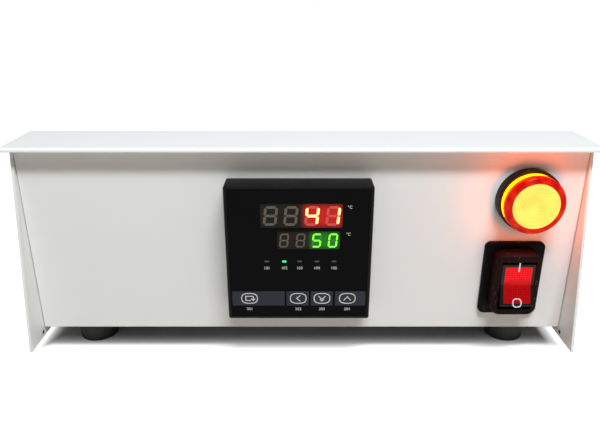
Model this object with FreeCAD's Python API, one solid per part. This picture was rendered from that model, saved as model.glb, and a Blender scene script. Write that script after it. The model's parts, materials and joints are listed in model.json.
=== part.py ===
import FreeCAD, Part
import math
import os

# Benchtop reflow oven: a control console in front of a low heated chamber with a glazed lid.
# Millimetres. +X is right seen from the front, +Y runs to the rear, +Z is up, and the origin is
# on the table under the middle of the oven.

# Driving dimensions of the case
DEPTH = 276.0
CONSOLE_WIDTH = 279.4
CHEEK = 1.4
CHEEK_REACH = 17.0
CHEEK_BOTTOM = 11.3
FOOT_HEIGHT = 16.0
SHEET = 1.2
FIT = 0.1
SEAM = 0.35
TOP_WIDTH = 287.4
TOP_THICK = 2.0
TOP_ROUND = 1.6
TOP_OVERHANG = 6.1
TOP_DEPTH = 30.3
TOP_UNDERSIDE = 115.2
ROOF_SLOPE = 17.0
CONSOLE_DEPTH = 85.0
DECK_TOP = 44.0
INLET_FLANGE = 2.8
FOLD = 14.0
FOLD_WIDTH = 200.0
SIDE_FOLD_Z = (30.0, 108.0)
PAN_FOLD_TOP = 27.0
VENT_COUNT = 13
VENT_PITCH = 9.0
VENT_START = -30.0
VENT_WIDTH = 3.0
VENT_Z = (20.0, 38.0)
PAST = 1.0

# Driving dimensions of the oven
CHAMBER_WIDTH = 220.0
CHAMBER_LENGTH = 126.0
CHAMBER_FLOOR = 22.0
WELL_SHEET = 1.0
WELL_FLANGE = 6.0
PLATE_WIDTH = 200.0
PLATE_LENGTH = 116.0
PLATE_Z = (27.0, 37.0)
HEATER_RADIUS = 4.0
HEATER_PITCH = 36.0
PROBE_RADIUS = 1.5
CUTOUT_RADIUS = 8.0
SEAL_WIDTH = 5.0
SEAL_HEIGHT = 2.0
LID_WIDTH = 248.0
LID_LENGTH = 152.0
LID_Z = (44.6, 56.0)
GLASS_THICK = 4.0
WINDOW_WIDTH = 184.0
WINDOW_LENGTH = 90.0
GLASS_BORDER = 12.0
GRIP_Z = (76.0, 87.0)
GRIP_HALF = 58.0
POST_X = 45.0
POST_RADIUS = 4.0
HINGE_X = 85.0
HINGE_WIDTH = 50.0
HINGE_Z = 50.0
KNUCKLE_RADIUS = 3.5
PIN_RADIUS = 1.5
RUNNING = 0.05

# Driving dimensions of the controls
CONTROLLER = (-1.4, 64.6)
BEZEL = 72.0
BEZEL_REACH = 12.2
PANEL_CUTOUT = 68.0
HOUSING = 66.5
HOUSING_WALL = 1.6
HOUSING_DEPTH = 72.0
LAMP = (111.8, 90.5)
LAMP_HEAD_RADIUS = 14.7
LAMP_BARREL_RADIUS = 10.9
LAMP_BARREL_DEPTH = 38.0
LENS_RADIUS = 11.3
SWITCH = (109.3, 46.4)
FLANGE_SIZE = (30.5, 41.0)
HOOD_SIZE = (22.6, 34.0)
HOOD_REACH = 10.5
SWITCH_CUTOUT = (22.0, 30.0)
SWITCH_DEPTH = 24.0
ROCKER_SIZE = (16.6, 24.8)
ROCKER_TILT = 10.0
PIVOT_REACH = 5.2
INLET = (-112.0, 30.5)
INLET_CUTOUT = (27.4, 20.0)
INLET_DEPTH = 16.0

# Planes that follow from them
FRONT = -DEPTH / 2 + CHEEK_REACH
REAR = DEPTH / 2 - INLET_FLANGE
CONSOLE_BACK = FRONT + CONSOLE_DEPTH
ROOF_LOW = TOP_UNDERSIDE - (CONSOLE_DEPTH - TOP_DEPTH) * math.tan(math.radians(ROOF_SLOPE))
INSIDE = CONSOLE_WIDTH / 2 - FIT
OVEN_Y = 48.5
HINGE_Y = 130.0
PAN_TOP = FOOT_HEIGHT + SHEET


def block(x, y, z):
    """Box between three (low, high) pairs."""
    corner = FreeCAD.Vector(x[0], y[0], z[0])
    return Part.makeBox(x[1] - x[0], y[1] - y[0], z[1] - z[0], corner)


def rod(radius, start, end):
    """Round bar from one point to another."""
    first = FreeCAD.Vector(*start)
    axis = FreeCAD.Vector(*end) - first
    return Part.makeCylinder(radius, axis.Length, first, axis)


def cone(low_radius, high_radius, start, end):
    """Tapered round bar from one point to another."""
    first = FreeCAD.Vector(*start)
    axis = FreeCAD.Vector(*end) - first
    return Part.makeCone(low_radius, high_radius, axis.Length, first, axis)


def along_x(points, x):
    """Outline of (y, z) points drawn out between two values of x."""
    corners = [FreeCAD.Vector(x[0], y, z) for y, z in points]
    outline = Part.makePolygon(corners + corners[:1])
    return Part.Face(outline).extrude(FreeCAD.Vector(x[1] - x[0], 0, 0))


def centred(middle, width):
    """The (low, high) pair of a width about its middle."""
    return (middle - width / 2, middle + width / 2)


def grown(span, amount):
    """A (low, high) pair made wider on both sides."""
    return (span[0] - amount, span[1] + amount)


def ahead(near, far):
    """The (low, high) pair of y between two distances in front of the console's face."""
    return (FRONT - far, FRONT - near)


def behind(near, far):
    """The (low, high) pair of y between two distances behind the console's face."""
    return (FRONT + near, FRONT + far)


def joined(shapes):
    """One solid from pieces that touch or overlap."""
    return shapes[0].multiFuse(shapes[1:]).removeSplitter()


def edges_along(shape, direction):
    """Straight edges that run along one of the three axes."""
    axis = FreeCAD.Vector(*[float(letter == direction) for letter in "xyz"])
    lines = [edge for edge in shape.Edges if edge.Curve.TypeId == "Part::GeomLine"]
    return [edge for edge in lines if abs(edge.tangentAt(edge.FirstParameter).dot(axis)) > 0.999]


def rounded(shape, radius, direction):
    """The shape with its straight edges along one axis rounded."""
    return shape.makeFillet(radius, edges_along(shape, direction))


def front_softened(shape, radius):
    """The shape with the outline of its foremost face rounded."""
    front = shape.BoundBox.YMin
    edges = [edge for edge in shape.Edges if edge.BoundBox.YMax < front + 0.001]
    return shape.makeFillet(radius, edges)


def on_axis(place, near, far, radius):
    """Round bar about a control's axis, between two distances in front of the console's face."""
    return rod(radius, (place[0], FRONT - far, place[1]), (place[0], FRONT - near, place[1]))


def hexagon(across_corners, place, y):
    """Hexagonal bar along y about a control's axis."""
    corners = []
    for step in range(6):
        angle = math.radians(60 * step)
        x = place[0] + across_corners / 2 * math.cos(angle)
        z = place[1] + across_corners / 2 * math.sin(angle)
        corners.append(FreeCAD.Vector(x, y[0], z))
    outline = Part.makePolygon(corners + corners[:1])
    return Part.Face(outline).extrude(FreeCAD.Vector(0, y[1] - y[0], 0))


def save(node, shape):
    """Write one node."""
    shape.exportStep("parts/" + node + ".step")


# Fastener places
FOOT_X = 117.9
FOOT_Y = (FRONT + 20.6, FRONT + 243.0)
FLANGE_Z = 22.5
SIDE_SCREW_Y = [FRONT + reach for reach in (40.0, 105.0, 165.0, 225.0)]
SIDE_SCREWS = [(y, FLANGE_Z) for y in SIDE_SCREW_Y] + [(FRONT + 7.0, 44.0), (FRONT + 7.0, 100.0)]
SCREW_RADIUS = 1.5
SCREW_HOLE = 1.65
CHEEK_HOLE = (FRONT - 2.0, 13.9)
CHEEK_HOLE_RADIUS = 1.2
FOOT_RADII = (10.3, 11.6)
FOOT_BORE = 2.2
FOOT_RECESS_RADIUS = 4.4
FOOT_RECESS = 5.0
FOOT_HEAD = 2.6
FOOT_HEAD_RADIUS = 3.8
FOOT_SCREW_RADIUS = 2.0
NUT_HEIGHT = 3.0
NUT_RADIUS = 3.5
NUT_PROUD = 0.2


def build_case():
    """Sheet metal of the console and of the low oven behind it."""
    profile = [
        (FRONT, TOP_UNDERSIDE),
        (FRONT + TOP_DEPTH, TOP_UNDERSIDE),
        (CONSOLE_BACK, ROOF_LOW),
        (CONSOLE_BACK, DECK_TOP),
        (REAR, DECK_TOP),
        (REAR, CHEEK_BOTTOM),
        (FRONT - CHEEK_REACH, CHEEK_BOTTOM),
    ]
    inner = CONSOLE_WIDTH / 2
    for side, sign in (("left", -1), ("right", 1)):
        x = sorted((sign * inner, sign * (inner + CHEEK)))
        cheek = along_x(profile, x)
        holes = [rod(SCREW_HOLE, (x[0] - PAST, y, z), (x[1] + PAST, y, z)) for y, z in SIDE_SCREWS]
        y, z = CHEEK_HOLE
        holes.append(rod(CHEEK_HOLE_RADIUS, (x[0] - PAST, y, z), (x[1] + PAST, y, z)))
        save(side + "_side_panel", cheek.cut(holes))

    top_z = (TOP_UNDERSIDE, TOP_UNDERSIDE + TOP_THICK)
    top = block(centred(0, TOP_WIDTH), behind(-TOP_OVERHANG, TOP_DEPTH), top_z)
    front_edges = [edge for edge in edges_along(top, "x") if edge.CenterOfMass.y < FRONT]
    front_top = max(front_edges, key=lambda edge: edge.CenterOfMass.z)
    save("top_plate", top.makeFillet(TOP_ROUND, [front_top]))

    edge = CONSOLE_WIDTH / 2 - SEAM
    panel_top = TOP_UNDERSIDE - FIT
    pieces = [
        block((-edge, edge), behind(0, SHEET), (FOOT_HEIGHT, panel_top)),
        block(centred(0, FOLD_WIDTH), behind(SHEET, FOLD), (panel_top - SHEET, panel_top)),
    ]
    for sign in (-1, 1):
        x = sorted((sign * edge, sign * (edge - SHEET)))
        pieces.append(block(x, behind(SHEET, FOLD), SIDE_FOLD_Z))
    panel = joined(pieces)
    through = behind(-PAST, SHEET + PAST)
    cuts = [
        block(centred(CONTROLLER[0], PANEL_CUTOUT), through, centred(CONTROLLER[1], PANEL_CUTOUT)),
        block(centred(SWITCH[0], SWITCH_CUTOUT[0]), through, centred(SWITCH[1], SWITCH_CUTOUT[1])),
        on_axis(LAMP, -SHEET - PAST, PAST, LAMP_BARREL_RADIUS + 2 * FIT),
    ]
    cuts += [rod(SCREW_HOLE, (-INSIDE - PAST, y, z), (INSIDE + PAST, y, z)) for y, z in SIDE_SCREWS[-2:]]
    save("front_panel", panel.cut(cuts))

    fall = SHEET / math.cos(math.radians(ROOF_SLOPE))
    wall_top = ROOF_LOW - fall + SHEET * math.tan(math.radians(ROOF_SLOPE))
    cover = [
        (FRONT + TOP_DEPTH, TOP_UNDERSIDE),
        (CONSOLE_BACK, ROOF_LOW),
        (CONSOLE_BACK, DECK_TOP),
        (CONSOLE_BACK - SHEET, DECK_TOP),
        (CONSOLE_BACK - SHEET, wall_top),
        (FRONT + TOP_DEPTH, TOP_UNDERSIDE - fall),
    ]
    save("console_cover", along_x(cover, (-INSIDE, INSIDE)))

    floor = block((-INSIDE, INSIDE), (FRONT + SHEET + FIT, REAR - SHEET - FIT), (FOOT_HEIGHT, PAN_TOP))
    flanges = []
    for sign in (-1, 1):
        x = sorted((sign * INSIDE, sign * (INSIDE - SHEET)))
        flanges.append(block(x, (FRONT + 20, REAR - 10), (FOOT_HEIGHT, PAN_FOLD_TOP)))
    pan = joined([floor] + flanges)
    holes = [rod(SCREW_HOLE, (-INSIDE - PAST, y, z), (INSIDE + PAST, y, z)) for y, z in SIDE_SCREWS[:-2]]
    for y in FOOT_Y:
        for x in (-FOOT_X, FOOT_X):
            holes.append(rod(FOOT_BORE, (x, y, FOOT_HEIGHT - PAST), (x, y, PAN_TOP + PAST)))
    save("base_pan", pan.cut(holes))

    rear = block((-INSIDE, INSIDE), (REAR - SHEET, REAR), (FOOT_HEIGHT, DECK_TOP - SHEET))
    through = (REAR - SHEET - PAST, REAR + PAST)
    slots = [block(centred(INLET[0], INLET_CUTOUT[0]), through, centred(INLET[1], INLET_CUTOUT[1]))]
    for step in range(VENT_COUNT):
        slot = block(centred(VENT_START + step * VENT_PITCH, VENT_WIDTH), through, VENT_Z)
        slots.append(rounded(slot, VENT_WIDTH / 2 - FIT, "y"))
    save("rear_panel", rear.cut(slots))

    deck = block((-INSIDE, INSIDE), (CONSOLE_BACK - SHEET, REAR), (DECK_TOP - SHEET, DECK_TOP))
    hole_x = centred(0, CHAMBER_WIDTH + WELL_FLANGE)
    hole_y = centred(OVEN_Y, CHAMBER_LENGTH + WELL_FLANGE)
    hole = block(hole_x, hole_y, (DECK_TOP - SHEET - PAST, DECK_TOP + PAST))
    save("deck_plate", deck.cut(rounded(hole, 4.0, "z")))


def build_fasteners():
    """Feet and the screws of the case."""
    feet = []
    screws = []
    for y in FOOT_Y:
        for x in (-FOOT_X, FOOT_X):
            foot = cone(*FOOT_RADII, (x, y, 0), (x, y, FOOT_HEIGHT))
            bore = rod(FOOT_BORE, (x, y, -PAST), (x, y, FOOT_HEIGHT + PAST))
            recess = rod(FOOT_RECESS_RADIUS, (x, y, -PAST), (x, y, FOOT_RECESS))
            feet.append(foot.cut([bore, recess]))
            head = rod(FOOT_HEAD_RADIUS, (x, y, FOOT_RECESS - FOOT_HEAD), (x, y, FOOT_RECESS))
            nut_top = PAN_TOP + NUT_HEIGHT
            shank = rod(FOOT_SCREW_RADIUS, (x, y, FOOT_RECESS), (x, y, nut_top + NUT_PROUD))
            screws.append(joined([head, shank]))
            nut = rod(NUT_RADIUS, (x, y, PAN_TOP), (x, y, nut_top))
            thread = rod(FOOT_SCREW_RADIUS + RUNNING, (x, y, PAN_TOP - PAST), (x, y, nut_top + PAST))
            screws.append(nut.cut(thread))
    save("rubber_feet", Part.makeCompound(feet))
    save("foot_screws", Part.makeCompound(screws))

    screws = []
    outside = CONSOLE_WIDTH / 2 + CHEEK
    for sign in (-1, 1):
        for y, z in SIDE_SCREWS:
            head = cone(3.0, 2.0, (sign * outside, y, z), (sign * (outside + 1.7), y, z))
            socket = rod(1.1, (sign * (outside + 0.7), y, z), (sign * (outside + 3), y, z))
            shank = rod(SCREW_RADIUS, (sign * (outside - 7), y, z), (sign * outside, y, z))
            screws.append(joined([head, shank]).cut(socket))
    save("side_screws", Part.makeCompound(screws))


def build_oven():
    """Heated chamber: well, plate, heaters, sensors and insulation."""
    well_x = centred(0, CHAMBER_WIDTH)
    well_y = centred(OVEN_Y, CHAMBER_LENGTH)
    outer_x = centred(0, CHAMBER_WIDTH + 2 * WELL_SHEET)
    outer_y = centred(OVEN_Y, CHAMBER_LENGTH + 2 * WELL_SHEET)
    rim_z = DECK_TOP + WELL_SHEET
    rim_x = centred(0, CHAMBER_WIDTH + 2 * (WELL_SHEET + WELL_FLANGE))
    rim_y = centred(OVEN_Y, CHAMBER_LENGTH + 2 * (WELL_SHEET + WELL_FLANGE))
    tub_floor = CHAMBER_FLOOR - WELL_SHEET
    tub = block(outer_x, outer_y, (tub_floor, rim_z))
    rim = rounded(block(rim_x, rim_y, (DECK_TOP, rim_z)), 4.0, "z")
    probe = (30.0, OVEN_Y - 18.0)
    well = joined([tub, rim]).cut([
        block(well_x, well_y, (CHAMBER_FLOOR, rim_z + PAST)),
        rod(PROBE_RADIUS + 3 * FIT, (*probe, tub_floor - PAST), (*probe, CHAMBER_FLOOR + PAST)),
    ])
    save("chamber_well", well)

    plate = block(centred(0, PLATE_WIDTH), centred(OVEN_Y, PLATE_LENGTH), PLATE_Z)
    plate = plate.makeChamfer(0.8, plate.Edges)
    heater_z = sum(PLATE_Z) / 2
    heater_rows = [OVEN_Y + step * HEATER_PITCH for step in (-1, 0, 1)]
    bore = HEATER_RADIUS + FIT
    cuts = [rod(bore, (-PLATE_WIDTH, y, heater_z), (PLATE_WIDTH, y, heater_z)) for y in heater_rows]
    cuts.append(rod(PROBE_RADIUS + FIT, (*probe, PLATE_Z[0] - PAST), (*probe, PLATE_Z[0] + 6)))
    save("heater_plate", plate.cut(cuts))
    half = PLATE_WIDTH / 2
    rods = [rod(HEATER_RADIUS, (-half - 4, y, heater_z), (half, y, heater_z)) for y in heater_rows]
    save("heater_rods", Part.makeCompound(rods))

    spacers = []
    for x in (-80, 80):
        for y in (OVEN_Y - 48, OVEN_Y + 48):
            spacers.append(rod(4.0, (x, y, CHAMBER_FLOOR), (x, y, PLATE_Z[0])))
    save("plate_standoffs", Part.makeCompound(spacers))

    sensor_low = PAN_TOP + 0.4
    sensor_top = tub_floor - FIT
    tip = rod(PROBE_RADIUS, (*probe, sensor_low), (*probe, PLATE_Z[0] + 5.5))
    collar = rod(2 * PROBE_RADIUS, (*probe, sensor_low), (*probe, sensor_top))
    save("thermocouple", joined([tip, collar]))
    sensor = (-50.0, OVEN_Y)
    disc = rod(CUTOUT_RADIUS, (*sensor, sensor_low), (*sensor, sensor_top))
    tab_z = (sensor_low + 0.4, sensor_low + 1.2)
    tabs = []
    for x in (sensor[0] - CUTOUT_RADIUS, sensor[0] + CUTOUT_RADIUS):
        tabs.append(block(centred(x, 6), centred(sensor[1], 3), tab_z))
    save("thermal_cutout", joined([disc] + tabs))

    blanket_top = DECK_TOP - SHEET - 0.8
    blanket = block(grown(outer_x, 5.0), grown(outer_y, 4.5), (PAN_TOP + FIT, blanket_top))
    pocket_z = (tub_floor, blanket_top + PAST)
    pockets = [
        block(grown(outer_x, 0.3), grown(outer_y, 0.3), pocket_z),
        rod(2 * PROBE_RADIUS + 0.6, (*probe, PAN_TOP), (*probe, CHAMBER_FLOOR)),
        block(centred(sensor[0], 24), centred(sensor[1], 18), (PAN_TOP, CHAMBER_FLOOR)),
    ]
    save("insulation_blanket", blanket.cut(pockets))

    inner_x = grown(well_x, 1.5)
    inner_y = grown(well_y, 1.5)
    seal = block(grown(inner_x, SEAL_WIDTH), grown(inner_y, SEAL_WIDTH), (rim_z, rim_z + SEAL_HEIGHT))
    middle = block(inner_x, inner_y, (rim_z - PAST, rim_z + SEAL_HEIGHT + PAST))
    save("chamber_seal", rounded(seal, 4.0, "z").cut(rounded(middle, 2.0, "z")))


def build_lid():
    """Glazed lid, its handle and its two hinges."""
    lid_x = centred(0, LID_WIDTH)
    lid_y = centred(OVEN_Y, LID_LENGTH)
    shell = rounded(block(lid_x, lid_y, LID_Z), 6.0, "z")
    top_edges = [edge for edge in shell.Edges if edge.BoundBox.ZMin > LID_Z[1] - 0.001]
    shell = shell.makeFillet(1.5, top_edges)
    roof = LID_Z[1] - SHEET
    inside_x = centred(0, LID_WIDTH - 2 * SHEET)
    inside_y = centred(OVEN_Y, LID_LENGTH - 2 * SHEET)
    inside = rounded(block(inside_x, inside_y, (LID_Z[0] - PAST, roof)), 4.8, "z")
    window_x = centred(0, WINDOW_WIDTH)
    window_y = centred(OVEN_Y, WINDOW_LENGTH)
    window = block(window_x, window_y, (roof - PAST, LID_Z[1] + PAST))
    save("lid_shell", shell.cut([inside, rounded(window, 5.0, "z")]))

    glass_low = roof - GLASS_THICK
    glass = block(grown(window_x, GLASS_BORDER), grown(window_y, GLASS_BORDER), (glass_low, roof))
    save("lid_glass", rounded(glass, 3.0, "z"))
    edge = LID_WIDTH / 2 - SHEET - FIT
    end = LID_LENGTH / 2 - SHEET - FIT
    frame_low = DECK_TOP + WELL_SHEET + SEAL_HEIGHT + FIT
    frame = rounded(block((-edge, edge), (OVEN_Y - end, OVEN_Y + end), (frame_low, glass_low)), 4.6, "z")
    sight = block(grown(window_x, -2.0), grown(window_y, -2.0), (frame_low - PAST, glass_low + PAST))
    save("lid_inner_frame", frame.cut(rounded(sight, 4.0, "z")))

    grip_y = lid_y[0] + 14.0
    grip = block((-GRIP_HALF, GRIP_HALF), centred(grip_y, 13.0), GRIP_Z)
    save("handle_grip", rounded(grip, 4.5, "x"))
    posts = []
    for x in (-POST_X, POST_X):
        post = rod(POST_RADIUS, (x, grip_y, LID_Z[1]), (x, grip_y, GRIP_Z[0]))
        collar = rod(POST_RADIUS + 2.5, (x, grip_y, LID_Z[1]), (x, grip_y, LID_Z[1] + 2.5))
        posts.append(joined([post, collar]))
    save("handle_posts", Part.makeCompound(posts))

    lid_back = lid_y[1]
    half = HINGE_WIDTH / 2
    gap = 0.3
    third = HINGE_WIDTH / 3
    base_leaves = []
    lid_leaves = []
    pins = []
    for middle in (-HINGE_X, HINGE_X):
        foot = block((middle - half, middle + half), (HINGE_Y - 4, REAR), (DECK_TOP, DECK_TOP + SHEET))
        pieces = [foot]
        for low in (middle - half, middle + half - third + gap):
            x = (low, low + third - gap)
            pieces.append(rod(KNUCKLE_RADIUS, (x[0], HINGE_Y, HINGE_Z), (x[1], HINGE_Y, HINGE_Z)))
            pieces.append(block(x, (HINGE_Y, HINGE_Y + KNUCKLE_RADIUS), (DECK_TOP, HINGE_Z)))
        start = (middle - half - PAST, HINGE_Y, HINGE_Z)
        bore = rod(PIN_RADIUS + RUNNING, start, (middle + half + PAST, HINGE_Y, HINGE_Z))
        base_leaves.append(joined(pieces).cut(bore))
        x = centred(middle, third - gap)
        leaf = joined([
            rod(KNUCKLE_RADIUS, (x[0], HINGE_Y, HINGE_Z), (x[1], HINGE_Y, HINGE_Z)),
            block(x, (lid_back, HINGE_Y), centred(HINGE_Z, 3.0)),
            block(centred(middle, HINGE_WIDTH), (lid_back, lid_back + SHEET), centred(HINGE_Z, 8.0)),
        ])
        lid_leaves.append(leaf.cut(bore))
        pins.append(rod(PIN_RADIUS, (middle - half, HINGE_Y, HINGE_Z), (middle + half, HINGE_Y, HINGE_Z)))
    save("hinge_base_leaves", Part.makeCompound(base_leaves))
    save("hinge_lid_leaves", Part.makeCompound(lid_leaves))
    save("hinge_pins", Part.makeCompound(pins))


# Face of the temperature controller: sideways from its middle and down from its top edge
RIM = 1.5
RECESS = 0.6
FACE_THICK = 1.4
PV_WINDOW = ((-18.8, 21.3), (9.1, 21.6))
SV_WINDOW = ((-10.6, 20.2), (23.4, 33.0))
LED_PLACES = (-15.9, -7.2, 0.4, 9.0, 17.5)
LED_DROP = 39.6
LED_SIZE = (2.2, 1.0)
KEY_DROP = (56.4, 64.6)
KEY_SPANS = ((-33.9, -7.2), (-6.2, 5.1), (6.1, 17.3), (18.4, 33.9))
KEY_GAP = 0.15


def on_face(span, drop, y):
    """Box on the controller's face, from sideways and downward spans."""
    top = CONTROLLER[1] + BEZEL / 2
    x = (CONTROLLER[0] + span[0], CONTROLLER[0] + span[1])
    return block(x, y, (top - drop[1], top - drop[0]))


def build_controller():
    """Panel temperature controller with displays, indicators and four keys."""
    floor = BEZEL_REACH - RECESS
    inner = floor - FACE_THICK
    bezel = block(centred(CONTROLLER[0], BEZEL), ahead(0, BEZEL_REACH), centred(CONTROLLER[1], BEZEL))
    bezel = front_softened(rounded(bezel, 1.2, "y"), 0.5)
    room = BEZEL - 4.0
    recess = BEZEL - 2 * RIM
    through = ahead(0, BEZEL_REACH + PAST)
    recess_y = ahead(floor, BEZEL_REACH + PAST)
    cuts = [
        block(centred(CONTROLLER[0], recess), recess_y, centred(CONTROLLER[1], recess)),
        block(centred(CONTROLLER[0], room), ahead(-PAST, inner), centred(CONTROLLER[1], room)),
        on_face(PV_WINDOW[0], PV_WINDOW[1], through),
        on_face(SV_WINDOW[0], SV_WINDOW[1], through),
    ]
    leds = []
    led_drop = centred(LED_DROP, LED_SIZE[1])
    for place in LED_PLACES:
        span = centred(place, LED_SIZE[0])
        cuts.append(on_face(grown(span, FIT), grown(led_drop, FIT), through))
        leds.append(on_face(span, led_drop, ahead(6.0, floor)))
    for span in KEY_SPANS:
        cuts.append(on_face(grown(span, KEY_GAP), grown(KEY_DROP, KEY_GAP), through))
    save("controller_bezel", bezel.cut(cuts))
    save("indicator_leds", Part.makeCompound(leds))
    for node, window in (("process_display", PV_WINDOW), ("setpoint_display", SV_WINDOW)):
        save(node, on_face(grown(window[0], -FIT), grown(window[1], -FIT), ahead(5.5, floor)))
    for number, span in enumerate(KEY_SPANS, 1):
        cap = on_face(span, KEY_DROP, ahead(inner - 1.2, floor + 0.25))
        lip = on_face(span, grown(KEY_DROP, 0.9), ahead(inner - 1.2, inner - 0.1))
        stem = on_face(centred(sum(span) / 2, 4.0), centred(sum(KEY_DROP) / 2, 4.0), ahead(5.7, inner))
        save("key_" + str(number), joined([cap, lip, stem]))

    board = block(centred(CONTROLLER[0], 64), ahead(3.4, 5.0), centred(CONTROLLER[1], 64))
    save("controller_board", board)
    case_x = centred(CONTROLLER[0], HOUSING)
    case_z = centred(CONTROLLER[1], HOUSING)
    case = block(case_x, behind(-2, HOUSING_DEPTH), case_z)
    hollow_y = behind(-2 - PAST, HOUSING_DEPTH - HOUSING_WALL)
    hollow = block(grown(case_x, -HOUSING_WALL), hollow_y, grown(case_z, -HOUSING_WALL))
    save("controller_case", case.cut(hollow))
    clamps = []
    for sign in (-1, 1):
        edge = CONTROLLER[0] + sign * (HOUSING / 2 + FIT)
        x = sorted((edge, edge + sign * 7))
        jaw = sorted((edge, edge + sign * 3))
        clamps.append(joined([
            block(x, behind(SHEET, 7), centred(CONTROLLER[1], 16)),
            block(jaw, behind(7, 34), centred(CONTROLLER[1], 10)),
        ]))
    save("controller_clamps", Part.makeCompound(clamps))
    strips = []
    strip_y = behind(HOUSING_DEPTH, HOUSING_DEPTH + 8)
    for z in (CONTROLLER[1] - 22, CONTROLLER[1] + 20):
        strip = block(centred(CONTROLLER[0], 56), strip_y, centred(z, 10))
        holes = []
        for step in range(6):
            x = CONTROLLER[0] - 22.5 + 9 * step
            holes.append(on_axis((x, z), -HOUSING_DEPTH - 9, -HOUSING_DEPTH - 3, 2.5))
        strips.append(strip.cut(holes))
    save("controller_terminals", Part.makeCompound(strips))


def build_lamp():
    """Pilot lamp: seal, black collar, glowing lens, red rim, barrel and nut."""
    barrel = LAMP_BARREL_RADIUS
    bore = barrel + FIT
    save("lamp_seal", on_axis(LAMP, 0, 1.0, LAMP_HEAD_RADIUS - 0.3).cut(on_axis(LAMP, -PAST, 2, bore)))
    collar_end = 6.2
    band_end = 9.6
    nose = 13.4
    collar = on_axis(LAMP, 1.0, collar_end, LAMP_HEAD_RADIUS + 1.0)
    save("lamp_collar", front_softened(collar, 0.5).cut(on_axis(LAMP, 0, collar_end + PAST, bore)))
    lens = joined([
        on_axis(LAMP, collar_end, band_end, LAMP_HEAD_RADIUS - 0.4),
        on_axis(LAMP, band_end, nose, LENS_RADIUS),
    ])
    save("lamp_lens", lens.cut(on_axis(LAMP, 3, nose - 1.6, LENS_RADIUS - 1.3)))
    rim = front_softened(on_axis(LAMP, band_end, nose, LAMP_HEAD_RADIUS), 2.2)
    save("lamp_rim", rim.cut(on_axis(LAMP, 0, nose + PAST, LENS_RADIUS + FIT)))
    pieces = [on_axis(LAMP, -LAMP_BARREL_DEPTH, collar_end, barrel)]
    for x in (LAMP[0] - 5, LAMP[0] + 5):
        pieces.append(on_axis((x, LAMP[1]), -LAMP_BARREL_DEPTH - 5, 1 - LAMP_BARREL_DEPTH, 2.6))
    hollow = on_axis(LAMP, 1.5 - LAMP_BARREL_DEPTH, collar_end + PAST, barrel - 1.4)
    save("lamp_barrel", joined(pieces).cut(hollow))
    nut = hexagon(32.0, LAMP, behind(SHEET, 7.2))
    save("lamp_nut", nut.cut(on_axis(LAMP, -9, 0, barrel + RUNNING)))
    save("lamp_board", on_axis(LAMP, 0.4, 2.0, barrel - 1.6))


def build_switch():
    """Hooded rocker switch with its lit lens."""
    flange_thick = 2.4
    pivot = (FRONT - PIVOT_REACH, SWITCH[1])
    window = (ROCKER_SIZE[0] + 0.6, ROCKER_SIZE[1] + 1.6)
    opening_y = ahead(-PAST, HOOD_REACH + PAST)
    opening = block(centred(SWITCH[0], window[0]), opening_y, centred(SWITCH[1], window[1]))
    flange_y = ahead(0, flange_thick)
    flange = block(centred(SWITCH[0], FLANGE_SIZE[0]), flange_y, centred(SWITCH[1], FLANGE_SIZE[1]))
    flange = front_softened(rounded(flange, 3.0, "y"), 0.8)
    save("switch_flange", flange.cut(opening))
    hood_y = ahead(flange_thick, HOOD_REACH)
    hood = block(centred(SWITCH[0], HOOD_SIZE[0]), hood_y, centred(SWITCH[1], HOOD_SIZE[1]))
    hood = front_softened(rounded(hood, 4.5, "y"), 1.2)
    axle = (SWITCH[0] - 10.4, SWITCH[0] + 10.4)
    bore = rod(1.0 + RUNNING, (axle[0], *pivot), (axle[1], *pivot))
    save("switch_hood", hood.cut([opening, bore]))

    reach = ROCKER_SIZE[1] / 2
    profile = [
        (-7.6, reach + 1),
        (-5.4, 0),
        (-7.6, -reach - 1),
        (-1.0, -reach - 1),
        (3.6, -5.0),
        (3.6, 5.0),
        (-1.0, reach + 1),
    ]
    points = [(pivot[0] + y, pivot[1] + z) for y, z in profile]
    solid = along_x(points, centred(SWITCH[0], ROCKER_SIZE[0]))
    sweep = rod(reach + 0.4, (SWITCH[0] - 20, *pivot), (SWITCH[0] + 20, *pivot))
    solid = solid.common(sweep)
    lens_size = (13.6, 19.0)
    lens_depth = 2.0
    ahead_face = [(y - 3, z) for y, z in points[:3]]
    behind_face = [(y + lens_depth, z) for y, z in reversed(points[:3])]
    skin = along_x(ahead_face + behind_face, centred(SWITCH[0], lens_size[0]))
    trim = block(centred(SWITCH[0], lens_size[0]), ahead(0, 40), centred(SWITCH[1], lens_size[1]))
    skin = skin.common(trim)
    lens = solid.common(skin)
    body = solid.cut([skin, bore])
    centre = FreeCAD.Vector(SWITCH[0], pivot[0], pivot[1])
    for node, shape in (("switch_rocker", body), ("rocker_lens", lens)):
        shape.rotate(centre, FreeCAD.Vector(1, 0, 0), -ROCKER_TILT)
        save(node, shape)
    save("rocker_pin", rod(1.0, (axle[0], *pivot), (axle[1], *pivot)))

    body_x = grown(centred(SWITCH[0], SWITCH_CUTOUT[0]), -2 * FIT)
    body_z = grown(centred(SWITCH[1], SWITCH_CUTOUT[1]), -2 * FIT)
    body = block(body_x, behind(0, SWITCH_DEPTH), body_z)
    cavity = block(centred(SWITCH[0], window[0]), behind(-PAST, 4), centred(SWITCH[1], window[1]))
    save("switch_body", body.cut(cavity))
    tabs = []
    for x in (SWITCH[0] - 6, SWITCH[0] + 6):
        for z in (SWITCH[1] - 8, SWITCH[1] + 8):
            tabs.append(block(centred(x, 0.8), behind(SWITCH_DEPTH, SWITCH_DEPTH + 10), centred(z, 6.3)))
    save("switch_terminals", Part.makeCompound(tabs))


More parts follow.
